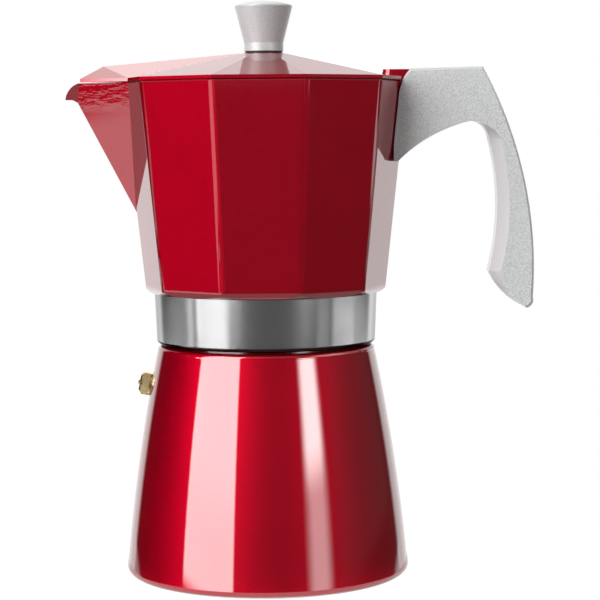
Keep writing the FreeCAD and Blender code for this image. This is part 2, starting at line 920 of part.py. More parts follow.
def handle_screw():
    head_top = tang_low_z - handle_screw_seat - screw_washer_thickness
    shank = post(screw_radius, head_top, tang_low_z + handle_screw_reach, handle_screw_x)
    head = post(screw_head_radius, head_top - screw_head_height, head_top, handle_screw_x)
    return shank.fuse(head).removeSplitter()


PIECES = [
    boiler,
    valve_body,
    valve_washer,
    valve_retainer,
    valve_spring,
    valve_plunger,
    valve_seal,
    funnel_basket,
    funnel_strainer,
    funnel_stem,
    gasket,
    filter_plate,
    collector,
    column,
    handle,
    handle_washer,
    handle_screw,
    hinge_pin,
    lid,
    knob,
    knob_insert,
    knob_washer,
    knob_screw,
]

os.makedirs("parts", exist_ok=True)
for piece in PIECES:
    shape = piece()
    shape.exportStep(f"parts/{piece.__name__}.step")
    print(piece.__name__, len(shape.Solids), "solid,", round(shape.Volume), "mm3, valid", shape.isValid())
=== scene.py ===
import json
import math

import bmesh
import bpy
from mathutils import Matrix, Quaternion, Vector


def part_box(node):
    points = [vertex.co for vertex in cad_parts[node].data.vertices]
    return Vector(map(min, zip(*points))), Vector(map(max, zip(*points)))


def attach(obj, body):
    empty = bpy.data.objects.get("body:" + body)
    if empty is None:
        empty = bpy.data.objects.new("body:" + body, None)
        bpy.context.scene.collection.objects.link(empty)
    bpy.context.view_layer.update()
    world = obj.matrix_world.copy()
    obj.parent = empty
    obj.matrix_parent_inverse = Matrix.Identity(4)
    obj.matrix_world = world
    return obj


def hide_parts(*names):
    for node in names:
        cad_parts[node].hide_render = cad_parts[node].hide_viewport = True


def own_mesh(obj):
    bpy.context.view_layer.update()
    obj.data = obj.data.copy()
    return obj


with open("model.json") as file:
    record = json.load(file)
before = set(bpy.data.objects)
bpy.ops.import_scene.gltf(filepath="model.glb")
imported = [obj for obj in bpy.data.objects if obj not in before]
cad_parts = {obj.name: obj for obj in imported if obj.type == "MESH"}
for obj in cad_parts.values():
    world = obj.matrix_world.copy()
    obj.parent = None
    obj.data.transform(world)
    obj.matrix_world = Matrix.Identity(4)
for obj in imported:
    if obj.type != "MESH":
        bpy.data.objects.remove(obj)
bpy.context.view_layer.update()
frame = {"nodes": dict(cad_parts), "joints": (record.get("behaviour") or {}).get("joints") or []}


# Boiler: one aluminium casting, turned on its neck, its rim and its underside.
# A clear red lacquer over the bright metal covers the outside wall up to the shoulder,
# under a hard gloss coat; the neck, the underside and the inside stay bare.
LACQUER_RED = (0.40, 0.0007, 0.013, 1)
LACQUER_EDGE = (0.03, 0.01, 0.02, 1)
LACQUER_METALLIC = 0.86
COAT_ROUGHNESS = 0.03
COAT_IOR = 1.8
BARE_ALUMINIUM = (0.80, 0.80, 0.805, 1)
DULL_ALUMINIUM = (0.70, 0.70, 0.70, 1)
BARE_EDGE = (0.4, 0.4, 0.4, 1)
# Painted shade: a near-black colour laid on a thin band at the joint between boiler and jug, where the gap lies
# in shadow.
JOINT_SHADE_COLOUR = (0.035, 0.018, 0.015, 1)
JOINT_SHADE_FULL, JOINT_SHADE_GONE = 0.0007, 0.0014
JOINT = 0.0982
SHOULDER = 0.0972
FOOT_EDGE = 0.0010
BOILER_FLOOR_TOP = 0.02
LATHE_LINES = 7000.0
BLACK = (0, 0, 0, 1)


def finish(name):
    """A new material, its tree and its Principled shader."""
    made = bpy.data.materials.new(name)
    made.use_nodes = True
    return made, made.node_tree, made.node_tree.nodes["Principled BSDF"]


def feed(tree, node, inputs):
    """Links or sets a node's inputs."""
    for key, value in inputs.items():
        if isinstance(value, bpy.types.NodeSocket):
            tree.links.new(value, node.inputs[key])
        else:
            node.inputs[key].default_value = value


def add(tree, kind, inputs, output=0, **settings):
    """Adds a node, feeds its inputs, and hands back one of its outputs."""
    made = tree.nodes.new(kind)
    for key, value in settings.items():
        setattr(made, key, value)
    feed(tree, made, inputs)
    return made.outputs[output]


def calc(tree, operation, first, second=0.0):
    return add(tree, "ShaderNodeMath", {0: first, 1: second}, operation=operation)


def times(tree, first, second):
    return calc(tree, "MULTIPLY", first, second)


def between(tree, value, low, high, start=0.0, end=1.0):
    """Smooth change from start to end as a value runs from low to high."""
    spread = {"Value": value, "From Min": low, "From Max": high, "To Min": start, "To Max": end}
    return add(tree, "ShaderNodeMapRange", spread, interpolation_type="SMOOTHSTEP")


def mixed(tree, share, first, second):
    """Blend of two colours."""
    return add(tree, "ShaderNodeMix", {0: share, 6: first, 7: second}, output=2, data_type="RGBA")


def blended(tree, share, first, second):
    """Blend of two numbers."""
    return add(tree, "ShaderNodeMix", {0: share, 2: first, 3: second}, data_type="FLOAT")


def facing(tree):
    """Where a point lies and which way its face looks, from the piece's own coordinates."""
    spot = tree.nodes.new("ShaderNodeTexCoord")
    place = spot.outputs["Object"]
    normal = spot.outputs["Normal"]
    flat = add(tree, "ShaderNodeVectorMath", {0: place, 1: (1, 1, 0)}, operation="MULTIPLY")
    radial = add(tree, "ShaderNodeVectorMath", {0: flat}, operation="NORMALIZE")
    along = {0: normal, 1: radial}
    return {
        "place": place,
        "normal": normal,
        "sideways": add(tree, "ShaderNodeSeparateXYZ", {0: place}, output="X"),
        "height": add(tree, "ShaderNodeSeparateXYZ", {0: place}, output="Z"),
        "radius": add(tree, "ShaderNodeVectorMath", {0: flat}, output="Value", operation="LENGTH"),
        "outward": add(tree, "ShaderNodeVectorMath", along, output="Value", operation="DOT_PRODUCT"),
        "upward": add(tree, "ShaderNodeSeparateXYZ", {0: normal}, output="Z"),
    }


def noise(tree, at, scale, detail, **more):
    """Cloudy pattern from 0 to 1 over the piece."""
    return add(tree, "ShaderNodeTexNoise", {"Vector": at["place"], "Scale": scale, "Detail": detail, **more})


def bumped(tree, strength, distance, height):
    return add(tree, "ShaderNodeBump", {"Strength": strength, "Distance": distance, "Height": height})


def turned_lines(tree, at):
    """Fine rings that a lathe tool leaves, as heights from 0 to 1."""
    along = times(tree, calc(tree, "ADD", at["height"], at["radius"]), LATHE_LINES)
    return add(tree, "ShaderNodeTexNoise", {"W": along, "Scale": 1.0, "Detail": 2.0}, noise_dimensions="1D")


def lacquered_casting(name, lacquered, skin=None):
    """Bare turned aluminium, with red lacquer where lacquered(tree, at) gives 1.

    A painted shade darkens the joint between boiler and jug, for the shadow in the gap there.
    skin(tree, at) gives the height of the cast skin in metres, for soft edges and ripples.
    """
    made, tree, shader = finish(name)
    at = facing(tree)
    share = lacquered(tree, at)
    # Painted shade at the joint: near the gap's height the colour goes dark and the gloss coat is taken off.
    off_joint = calc(tree, "ABSOLUTE", calc(tree, "SUBTRACT", at["height"], JOINT))
    painted_joint_shade = between(tree, off_joint, JOINT_SHADE_FULL, JOINT_SHADE_GONE, 1, 0)
    lines = turned_lines(tree, at)
    cloud = noise(tree, at, 26.0, 3.0)
    flake = add(tree, "ShaderNodeTexVoronoi", {"Vector": at["place"], "Scale": 1900.0}, output="Color")
    sparkle = add(tree, "ShaderNodeSeparateColor", {0: flake})
    peel = noise(tree, at, 420.0, 1.0)
    depth = times(tree, between(tree, cloud, 0.3, 0.7, 0.93, 1.06), between(tree, sparkle, 0, 1, 0.92, 1.07))
    red = mixed(tree, depth, BLACK, LACQUER_RED)
    bare = mixed(tree, between(tree, cloud, 0.35, 0.75), BARE_ALUMINIUM, DULL_ALUMINIUM)
    ring_gloss = between(tree, lines, 0.3, 0.7, 0.16, 0.19)
    bare_gloss = calc(tree, "ADD", ring_gloss, between(tree, cloud, 0.3, 0.7, 0.0, 0.03))
    red_gloss = between(tree, sparkle, 0, 1, 0.47, 0.56)
    relief = blended(tree, share, times(tree, lines, 0.08), times(tree, peel, 0.35))
    bump = {"Strength": 0.25, "Distance": 0.00002, "Height": relief}
    if skin:
        bump["Normal"] = bumped(tree, 1.0, 1.0, times(tree, skin(tree, at), share))
        feed(tree, shader, {"Coat Normal": bump["Normal"]})
    looks = {
        "Base Color": mixed(tree, painted_joint_shade, mixed(tree, share, bare, red), JOINT_SHADE_COLOUR),
        "Metallic": blended(tree, share, 1.0, LACQUER_METALLIC),
        "Roughness": blended(tree, share, bare_gloss, red_gloss),
        "Specular Tint": mixed(tree, share, BARE_EDGE, LACQUER_EDGE),
        "Coat Weight": calc(tree, "SUBTRACT", share, painted_joint_shade),
        "Coat Roughness": COAT_ROUGHNESS,
        "Coat IOR": COAT_IOR,
        "Normal": add(tree, "ShaderNodeBump", bump),
    }
    feed(tree, shader, looks)
    return made


def outside_wall(tree, at):
    return between(tree, at["outward"], -0.25, -0.15)


def floor_below(tree, at, upward, top):
    """1 on faces that look up, below a height."""
    looks_up = calc(tree, "GREATER_THAN", at["upward"], upward)
    return times(tree, looks_up, calc(tree, "LESS_THAN", at["height"], top))


def boiler_lacquer(tree, at):
    below = calc(tree, "LESS_THAN", at["height"], SHOULDER)
    downward = between(tree, at["upward"], -0.80, -0.70, 1, 0)
    underside = times(tree, downward, calc(tree, "LESS_THAN", at["height"], FOOT_EDGE))
    bare = calc(tree, "MAXIMUM", underside, floor_below(tree, at, 0.4, BOILER_FLOOR_TOP))
    return times(tree, times(tree, outside_wall(tree, at), below), calc(tree, "SUBTRACT", 1.0, bare))


def dress(node, material):
    """Gives a node of the frame its finish."""
    slots = frame["nodes"][node].data.materials
    slots.clear()
    slots.append(material)


dress("boiler", lacquered_casting("boiler_lacquer", boiler_lacquer))


# Neck thread: a right-hand ridge of rounded section, 4 mm a turn, rolled on the boiler's bare neck.
# It is the same aluminium, worn bright by the jug's collar.
WORN_ALUMINIUM = (0.82, 0.82, 0.83, 1)
BLOOM_SHADE = 0.72
THREAD_PITCH = 0.004
THREAD_SIDES = 8
SPIRAL_STEPS = 64
NECK_RADIUS = 0.0412
NECK_THREAD_LOW = 0.0986
NECK_THREAD_TURNS = 2.3
NECK_THREAD_BEAD = 0.00072


def spun_aluminium(name, colour, low_gloss, high_gloss):
    """Bare aluminium with lathe rings and a faint grey bloom from hot water."""
    made, tree, shader = finish(name)
    at = facing(tree)
    lines = turned_lines(tree, at)
    bloom = noise(tree, at, 45.0, 5.0, Roughness=0.6)
    dull = tuple(BLOOM_SHADE * part for part in colour[:3]) + (1,)
    ring_gloss = between(tree, lines, 0.25, 0.75, low_gloss, high_gloss)
    looks = {
        "Base Color": mixed(tree, between(tree, bloom, 0.4, 0.75), colour, dull),
        "Roughness": calc(tree, "ADD", ring_gloss, between(tree, bloom, 0.35, 0.7, 0.0, 0.08)),
        "Normal": bumped(tree, 0.3, 0.00002, lines),
        "Metallic": 1.0,
    }
    feed(tree, shader, looks)
    return made


def tree_input(tree, name, kind):
    return tree.interface.new_socket(name, in_out="INPUT", socket_type=kind).identifier


def tree_ends(tree, mesh, material):
    """Closes a node tree: realised geometry with its finish."""
    whole = add(tree, "GeometryNodeRealizeInstances", {0: mesh})
    done = add(tree, "GeometryNodeSetMaterial", {"Geometry": whole, "Material": material})
    tree.links.new(done, tree.nodes.new("NodeGroupOutput").inputs[0])


def ridge_tree():
    """Geometry nodes for a thread or a coil: a spiral with a round bead along it."""
    tree = bpy.data.node_groups.new("thread_ridge", "GeometryNodeTree")
    lengths = ("Radius", "Low", "Turns", "Pitch", "Bead")
    keys = {name: tree_input(tree, name, "NodeSocketFloat") for name in lengths}
    keys["Sides"] = tree_input(tree, "Sides", "NodeSocketInt")
    keys["Finish"] = tree_input(tree, "Finish", "NodeSocketMaterial")
    tree.interface.new_socket("Geometry", in_out="OUTPUT", socket_type="NodeSocketGeometry")
    given = tree.nodes.new("NodeGroupInput").outputs
    spiral_sizes = {
        "Resolution": SPIRAL_STEPS,
        "Rotations": given["Turns"],
        "Start Radius": given["Radius"],
        "End Radius": given["Radius"],
        "Height": times(tree, given["Turns"], given["Pitch"]),
        "Reverse": True,
    }
    spiral = add(tree, "GeometryNodeCurveSpiral", spiral_sizes)
    upright = add(tree, "GeometryNodeSetCurveNormal", {"Curve": spiral}, mode="Z_UP")
    section = {"Resolution": given["Sides"], "Radius": given["Bead"]}
    bead = add(tree, "GeometryNodeCurvePrimitiveCircle", section)
    swept = {"Curve": upright, "Profile Curve": bead, "Fill Caps": True}
    ridge = add(tree, "GeometryNodeCurveToMesh", swept)
    lift = add(tree, "ShaderNodeCombineXYZ", {"Z": given["Low"]})
    raised = add(tree, "GeometryNodeTransform", {"Geometry": ridge, "Translation": lift})
    tree_ends(tree, raised, given["Finish"])
    return tree, keys


def grown(name, points, tree, keys, values):
    """Runs a node tree on a cloud of points and keeps the result as a plain mesh piece."""
    cloud = bpy.data.meshes.new(name + "_points")
    cloud.from_pydata(points, [], [])
    seed = bpy.data.objects.new(name + "_seed", cloud)
    bpy.context.scene.collection.objects.link(seed)
    modifier = seed.modifiers.new("grow", "NODES")
    modifier.node_group = tree
    for key, value in values.items():
        modifier[keys[key]] = value
    mesh = bpy.data.meshes.new_from_object(seed.evaluated_get(bpy.context.evaluated_depsgraph_get()))
    bpy.data.objects.remove(seed)
    for face in mesh.polygons:
        face.use_smooth = True
    piece = bpy.data.objects.new(name, mesh)
    bpy.context.scene.collection.objects.link(piece)
    return piece


ridge, ridge_keys = ridge_tree()
worn_thread = spun_aluminium("worn_thread", WORN_ALUMINIUM, 0.18, 0.28)
neck_sizes = {
    "Radius": NECK_RADIUS,
    "Low": NECK_THREAD_LOW,
    "Turns": NECK_THREAD_TURNS,
    "Pitch": THREAD_PITCH,
    "Bead": NECK_THREAD_BEAD,
    "Sides": THREAD_SIDES,
    "Finish": worn_thread,
}
neck_thread = grown("neck_thread", [(0, 0, 0)], ridge, ridge_keys, neck_sizes)
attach(neck_thread, "boiler")


# Safety valve: a brass hexagon screwed into the boiler's side, with a spring, a plunger and a seal inside.
# The brass is turned from bar and has a warm tarnish in patches; the seal is cut from silicone.
BRIGHT_BRASS, TARNISH = (0.80, 0.64, 0.34, 1), (0.46, 0.31, 0.15, 1)
CLEAN_STEEL, GREY_STEEL = (0.62, 0.62, 0.63, 1), (0.48, 0.48, 0.49, 1)
CLEAN_SILICONE, DUSTY_SILICONE = (0.80, 0.79, 0.75, 1), (0.70, 0.67, 0.60, 1)
SILICONE_DEPTH = (0.002, 0.0016, 0.0012)


def tarnished_brass(name):
    made, tree, shader = finish(name)
    at = facing(tree)
    patch = noise(tree, at, 380.0, 4.0, Roughness=0.65)
    marks = noise(tree, at, 4200.0, 1.0)
    looks = {
        "Base Color": mixed(tree, between(tree, patch, 0.42, 0.72), BRIGHT_BRASS, TARNISH),
        "Roughness": between(tree, patch, 0.3, 0.75, 0.16, 0.42),
        "Normal": bumped(tree, 0.2, 0.00003, marks),
        "Metallic": 1.0,
    }
    feed(tree, shader, looks)
    return made


def drawn_steel(name):
    """Bright steel with short drawing marks."""
    made, tree, shader = finish(name)
    at = facing(tree)
    grain = noise(tree, at, 2400.0, 3.0)
    patch = noise(tree, at, 160.0, 2.0)
    looks = {
        "Base Color": mixed(tree, between(tree, patch, 0.35, 0.7), CLEAN_STEEL, GREY_STEEL),
        "Roughness": between(tree, grain, 0.3, 0.7, 0.18, 0.34),
        "Normal": bumped(tree, 0.2, 0.00002, grain),
        "Metallic": 1.0,
    }
    feed(tree, shader, looks)
    return made


def silicone(name):
    """Milky food-grade rubber, a little dusty, with a waxy shine."""
    made, tree, shader = finish(name)
    at = facing(tree)
    dust = noise(tree, at, 220.0, 4.0)
    pores = noise(tree, at, 2600.0, 1.0)
    looks = {
        "Base Color": mixed(tree, between(tree, dust, 0.4, 0.7), CLEAN_SILICONE, DUSTY_SILICONE),
        "Roughness": between(tree, dust, 0.3, 0.7, 0.42, 0.58),
        "Normal": bumped(tree, 0.2, 0.00003, pores),
        "Subsurface Weight": 0.2,
        "Subsurface Radius": SILICONE_DEPTH,
    }
    feed(tree, shader, looks)
    return made


valve_brass = tarnished_brass("valve_brass")
bright_steel = drawn_steel("bright_steel")
for node in ("valve_body", "valve_washer", "valve_retainer", "valve_plunger"):
    dress(node, valve_brass)
dress("valve_seal", silicone("seal_silicone"))


# Valve spring: one coil of bright steel wire between the plunger's head and the retainer.
# It is wound as the threads are and stands on the retainer's inner face. The real spring shortens as the
# plunger opens; this coil keeps its length.
WIRE_RADIUS = 0.00025
WIRE_SIDES = 10
COIL_RADIUS = 0.00175
COIL_TURNS = 5
COIL_LENGTH = 0.0061
RETAINER_HALF = 0.00055
outward = Vector(next(joint["axis"] for joint in frame["joints"] if joint["name"] == "valve_open"))
retainer_low, retainer_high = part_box("valve_retainer")
coil_end = (retainer_low + retainer_high) / 2 - outward * RETAINER_HALF
coil_sizes = {
    "Radius": COIL_RADIUS,
    "Low": WIRE_RADIUS - COIL_LENGTH,
    "Turns": float(COIL_TURNS),
    "Pitch": (COIL_LENGTH - 2 * WIRE_RADIUS) / COIL_TURNS,
    "Bead": WIRE_RADIUS,
    "Sides": WIRE_SIDES,
    "Finish": bright_steel,
}
coil = grown("valve_coil", [(0, 0, 0)], ridge, ridge_keys, coil_sizes)
coil.data.transform(Matrix.Translation(coil_end) @ outward.to_track_quat("Z", "Y").to_matrix().to_4x4())
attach(coil, "boiler")
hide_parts("valve_spring")
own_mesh(coil)


# Funnel: a coffee cup drawn from aluminium sheet, with a loose punched floor and a pressed-in tube.
# Punching leaves a soft raised rim round every hole, which is added here ring by ring.
SHEET_ALUMINIUM = (0.77, 0.77, 0.78, 1)
PUNCHED_ALUMINIUM = (0.74, 0.74, 0.75, 1)
HOLE_RINGS = 5
HOLE_SPACING = 0.0056
HOLE_RIM_RADIUS = 0.00104
HOLE_RIM_BEAD = 0.00013
HOLE_RIM_STEPS, HOLE_RIM_SIDES = 16, 5


def hole_centres(height):
    """One hole in the middle, and six more on every ring outwards."""
    centres = [(0, 0, height)]
    for ring in range(1, HOLE_RINGS + 1):
        for k in range(6 * ring):
            angle = math.pi * k / (3 * ring)
            reach = ring * HOLE_SPACING
            centres.append((reach * math.cos(angle), reach * math.sin(angle), height))
    return centres


def rim_tree():
    """Geometry nodes for punched rims: a small bead round every point."""
    tree = bpy.data.node_groups.new("punched_rims", "GeometryNodeTree")
    tree.interface.new_socket("Geometry", in_out="INPUT", socket_type="NodeSocketGeometry")
    keys = {name: tree_input(tree, name, "NodeSocketFloat") for name in ("Radius", "Bead")}
    keys["Finish"] = tree_input(tree, "Finish", "NodeSocketMaterial")
    tree.interface.new_socket("Geometry", in_out="OUTPUT", socket_type="NodeSocketGeometry")
    given = tree.nodes.new("NodeGroupInput").outputs
    path = {"Resolution": HOLE_RIM_STEPS, "Radius": given["Radius"]}
    circle = add(tree, "GeometryNodeCurvePrimitiveCircle", path)
    section = {"Resolution": HOLE_RIM_SIDES, "Radius": given["Bead"]}
    bead = add(tree, "GeometryNodeCurvePrimitiveCircle", section)
    rim = add(tree, "GeometryNodeCurveToMesh", {"Curve": circle, "Profile Curve": bead})
    rims = add(tree, "GeometryNodeInstanceOnPoints", {"Points": given["Geometry"], "Instance": rim})
    tree_ends(tree, rims, given["Finish"])
    return tree, keys


rims, rim_keys = rim_tree()
drawn_sheet = spun_aluminium("drawn_sheet", SHEET_ALUMINIUM, 0.24, 0.36)
punched_sheet = spun_aluminium("punched_sheet", PUNCHED_ALUMINIUM, 0.26, 0.38)
for node in ("funnel_basket", "funnel_stem"):
    dress(node, drawn_sheet)
dress("funnel_strainer", punched_sheet)
rim_sizes = {"Radius": HOLE_RIM_RADIUS, "Bead": HOLE_RIM_BEAD, "Finish": punched_sheet}
strainer_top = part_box("funnel_strainer")[1].z
strainer_rims = grown("strainer_rims", hole_centres(strainer_top), rims, rim_keys, rim_sizes)
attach(strainer_rims, "funnel")


# Gasket: a flat ring of milky silicone, moulded in one piece.
# It lies on the funnel's flange and seals the jug there when the collar is screwed down.
dress("gasket", silicone("gasket_silicone"))


# Filter plate: a disc of aluminium sheet, punched with the same holes as the funnel's floor.
# The gasket holds it up under the jug; its holes have the same raised rims.
dress("filter_plate", punched_sheet)
plate_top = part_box("filter_plate")[1].z
filter_rims = grown("filter_rims", hole_centres(plate_top), rims, rim_keys, rim_sizes)
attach(filter_rims, "filter_plate")


# Jug: one aluminium casting with ten sides, a spout, hinge ears and a turned collar.
# Its outside is lacquered like the boiler; the collar, the floor and the inside stay bare metal.
COLLAR_TOP = 0.1193
COLLAR_BORE = 0.0425
COLLAR_THREAD_LOW = 0.1002
COLLAR_THREAD_TURNS = 2.1
COLLAR_THREAD_BEAD = 0.00042
JUG_FLOOR_TOP = 0.185
ROLL_HEIGHT = 0.0033
ROLL_RADIUS = 0.004
LIP_FULL, LIP_GONE = -0.056, -0.050
LIP_LOW, LIP_HIGH = 0.1945, 0.2005
RIPPLE_HEIGHT = 0.00004


def jug_lacquer(tree, at):
    above = calc(tree, "GREATER_THAN", at["height"], COLLAR_TOP)
    bare = floor_below(tree, at, 0.5, JUG_FLOOR_TOP)
    return times(tree, times(tree, outside_wall(tree, at), above), calc(tree, "SUBTRACT", 1.0, bare))


def jug_skin(tree, at):
    """The wall rolls in just above the collar, and the cast skin ripples along the spout's lip."""
    below = calc(tree, "MAXIMUM", calc(tree, "SUBTRACT", COLLAR_TOP + ROLL_HEIGHT, at["height"]), 0.0)
    roll = times(tree, times(tree, below, below), -1 / (2 * ROLL_RADIUS))
    near_lip = between(tree, at["sideways"], LIP_FULL, LIP_GONE, 1, 0)
    lip = times(tree, near_lip, between(tree, at["height"], LIP_LOW, LIP_HIGH))
    drawn_out = add(tree, "ShaderNodeVectorMath", {0: at["place"], 1: (0.3, 0.3, 1)}, operation="MULTIPLY")
    waves = noise(tree, {"place": drawn_out}, 600.0, 2.0)
    return calc(tree, "ADD", roll, times(tree, times(tree, waves, lip), RIPPLE_HEIGHT))


dress("collector", lacquered_casting("jug_lacquer", jug_lacquer, jug_skin))
collar_sizes = {
    "Radius": COLLAR_BORE,
    "Low": COLLAR_THREAD_LOW,
    "Turns": COLLAR_THREAD_TURNS,
    "Pitch": THREAD_PITCH,
    "Bead": COLLAR_THREAD_BEAD,
    "Sides": THREAD_SIDES,
    "Finish": worn_thread,
}
collar_thread = grown("collar_thread", [(0, 0, 0)], ridge, ridge_keys, collar_sizes)
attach(collar_thread, "collector")


# Column: the riser that the coffee climbs, turned from aluminium.
# It is pressed into the jug's floor and lets the coffee out through two holes in its side.
RISER_ALUMINIUM = (0.78, 0.78, 0.79, 1)
dress("column", spun_aluminium("riser_aluminium", RISER_ALUMINIUM, 0.26, 0.38))


# Handle: moulded in silver-grey plastic, hollow over the jug's tang.
# The mould gives its flat sides a pebble grain and leaves the bevel round the finger gap smooth.
GRIP_GREY = (0.53, 0.535, 0.54, 1)
GRAIN_SCALE = 1700.0
GRAIN_DEPTH = 0.00022
SIDE_STARTS, SIDE_FULL = 0.86, 0.97


def grained_plastic(name):
    made, tree, shader = finish(name)
    at = facing(tree)
    across = add(tree, "ShaderNodeSeparateXYZ", {0: at["normal"]}, output="Y")
    side = between(tree, calc(tree, "ABSOLUTE", across), SIDE_STARTS, SIDE_FULL)
    cells = {"Vector": at["place"], "Scale": GRAIN_SCALE, "Smoothness": 0.6, "Randomness": 1.0}
    pebbles = add(tree, "ShaderNodeTexVoronoi", cells, output="Distance", feature="SMOOTH_F1")
    waves = noise(tree, at, 1300.0, 2.0, Distortion=0.6)
    fine = noise(tree, at, 3000.0, 1.0)
    grain = calc(tree, "ADD", times(tree, pebbles, 0.8), times(tree, waves, 0.5))
    relief = blended(tree, side, times(tree, fine, 0.08), grain)
    # On the flat sides the grey follows the grain. Off them, on the smooth bevel, it is painted lighter: a
    # painted highlight for the light falling there.
    grain_tone_and_bevel_highlight = blended(tree, side, 1.18, between(tree, grain, 0.40, 0.80, 1.14, 0.80))
    looks = {
        "Base Color": mixed(tree, grain_tone_and_bevel_highlight, BLACK, GRIP_GREY),
        "Roughness": blended(tree, side, 0.34, 0.46),
        "Normal": bumped(tree, 0.7, GRAIN_DEPTH, relief),
        "Metallic": 0.05,
    }
    feed(tree, shader, looks)
    return made


dress("handle", grained_plastic("grained_plastic"))


# Handle screw: a steel pan-head screw with a cross recess, up through the arm into the jug's tang.
# A plain steel washer spreads its grip on the plastic.
SCREW_SIDES = 40
HEAD_RADIUS = 0.0036
HEAD_HEIGHT = 0.0020
HEAD_DOME = ((0.55, 0.00008), (0.80, 0.00035), (0.94, 0.00085), (1.0, 0.00150))
SHANK_RADIUS = 0.00195
TIP_LENGTH, TIP_SHARE = 0.0008, 0.6
RECESS_DEPTH = 0.0012
RECESS_REACH = 0.0021
RECESS_HALF_WIDTH = 0.0005
RECESS_TAPER = 0.7
CUT_PAST = 0.0005
SHARP_EDGE = math.radians(35)


def lathe(profile, sides):
    """Round solid from a list of radius and height."""
    solid = bmesh.new()
    step = 2 * math.pi / sides
    rings = []
    for radius, height in profile:
        spokes = range(sides) if radius else range(1)
        places = [(radius * math.cos(step * k), radius * math.sin(step * k), height) for k in spokes]
        rings.append([solid.verts.new(place) for place in places])
    for low, high in zip(rings, rings[1:]):
        for k in range(sides):
            after = (k + 1) % sides
            corners = [low[k % len(low)], low[after % len(low)], high[after % len(high)], high[k % len(high)]]
            solid.faces.new(list(dict.fromkeys(corners)))
    bmesh.ops.recalc_face_normals(solid, faces=solid.faces)
    return solid


def cross_cutter():
    """Two crossed bars for the recess, a little narrower at the bottom."""
    solid = bmesh.new()
    width = RECESS_HALF_WIDTH
    for turned in (False, True):
        ends = []
        for height, share in ((-CUT_PAST, 1.0), (RECESS_DEPTH, RECESS_TAPER)):
            reach = RECESS_REACH * share
            corners = [(reach, width), (-reach, width), (-reach, -width), (reach, -width)]
            ends.append([solid.verts.new((y, x, height) if turned else (x, y, height)) for x, y in corners])
        solid.faces.new(ends[0])
        solid.faces.new(ends[1])
        for k in range(4):
            solid.faces.new([ends[0][k], ends[0][(k + 1) % 4], ends[1][(k + 1) % 4], ends[1][k]])
    bmesh.ops.recalc_face_normals(solid, faces=solid.faces)
    return solid


def as_piece(name, solid):
    mesh = bpy.data.meshes.new(name)
    solid.to_mesh(mesh)
    solid.free()
    piece = bpy.data.objects.new(name, mesh)
    bpy.context.scene.collection.objects.link(piece)
    return piece


def pan_screw(name, node, body):
    """Pan head below, shank above, on the axis and at the height of the node it stands for."""
    low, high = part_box(node)
    axis = (low + high) / 2
    top = high.z - low.z
    profile = [(0, 0)]
    profile += [(HEAD_RADIUS * share, height) for share, height in HEAD_DOME]
    profile += [(HEAD_RADIUS, HEAD_HEIGHT), (SHANK_RADIUS, HEAD_HEIGHT), (SHANK_RADIUS, top - TIP_LENGTH)]
    profile += [(SHANK_RADIUS * TIP_SHARE, top), (0, top)]
    screw = as_piece(name, lathe(profile, SCREW_SIDES))
    cutter = as_piece(name + "_cutter", cross_cutter())
    cut = screw.modifiers.new("recess", "BOOLEAN")
    cut.object = cutter
    cut.operation = "DIFFERENCE"
    cut.solver = "EXACT"
    mesh = bpy.data.meshes.new_from_object(screw.evaluated_get(bpy.context.evaluated_depsgraph_get()))
    screw.modifiers.clear()
    screw.data = mesh
    bpy.data.objects.remove(cutter)
    for vertex in mesh.vertices:
        vertex.co += Vector((axis.x, axis.y, low.z))
    mesh.materials.clear()
    mesh.materials.append(bright_steel)
    mesh.shade_smooth()
    mesh.set_sharp_from_angle(angle=SHARP_EDGE)
    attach(screw, body)
    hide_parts(node)


dress("handle_washer", bright_steel)
pan_screw("handle_pan_screw", "handle_screw", "collector")


# Hinge pin: a length of drawn steel wire.
# It is pressed through the jug's two ears, and the lid's tongue turns on it.
dress("hinge_pin", bright_steel)


# Lid: a thin aluminium casting, lacquered on top, with a hood over the spout and a tongue for the hinge.
# Its underside is bare, as cast.
TONGUE_START = 0.048
TONGUE_LOW = 0.2095


def lid_lacquer(tree, at):
    above = between(tree, at["upward"], 0.05, 0.15)
    outer = calc(tree, "GREATER_THAN", at["outward"], 0.02)
    past_ears = calc(tree, "GREATER_THAN", at["sideways"], TONGUE_START)
    tongue = times(tree, past_ears, calc(tree, "GREATER_THAN", at["height"], TONGUE_LOW))
    not_below = between(tree, at["upward"], -0.30, -0.20)
    edge = times(tree, calc(tree, "MAXIMUM", outer, tongue), not_below)
    return calc(tree, "MAXIMUM", above, edge)


dress("lid", lacquered_casting("lid_lacquer", lid_lacquer))


# Knob: a flared plastic cap with a satin silver finish, on a dark heat washer.
# A brass insert moulded into it takes the screw that comes up through the lid's crown.
SATIN_DARK, SATIN_LIGHT = (0.43, 0.45, 0.455, 1), (0.52, 0.545, 0.55, 1)
FIBRE_DARK, FIBRE_LIGHT = (0.012, 0.012, 0.013, 1), (0.035, 0.035, 0.037, 1)


def satin_silver(name):
    made, tree, shader = finish(name)
    at = facing(tree)
    lines = turned_lines(tree, at)
    speck = noise(tree, at, 2200.0, 2.0)
    relief = calc(tree, "ADD", times(tree, lines, 0.3), times(tree, speck, 0.7))
    looks = {
        "Base Color": mixed(tree, between(tree, speck, 0.3, 0.7), SATIN_DARK, SATIN_LIGHT),
        "Roughness": between(tree, speck, 0.3, 0.7, 0.34, 0.44),
        "Normal": bumped(tree, 0.3, 0.00003, relief),
        "Metallic": 0.15,
        "Specular IOR Level": 0.3,
    }
    feed(tree, shader, looks)
    return made


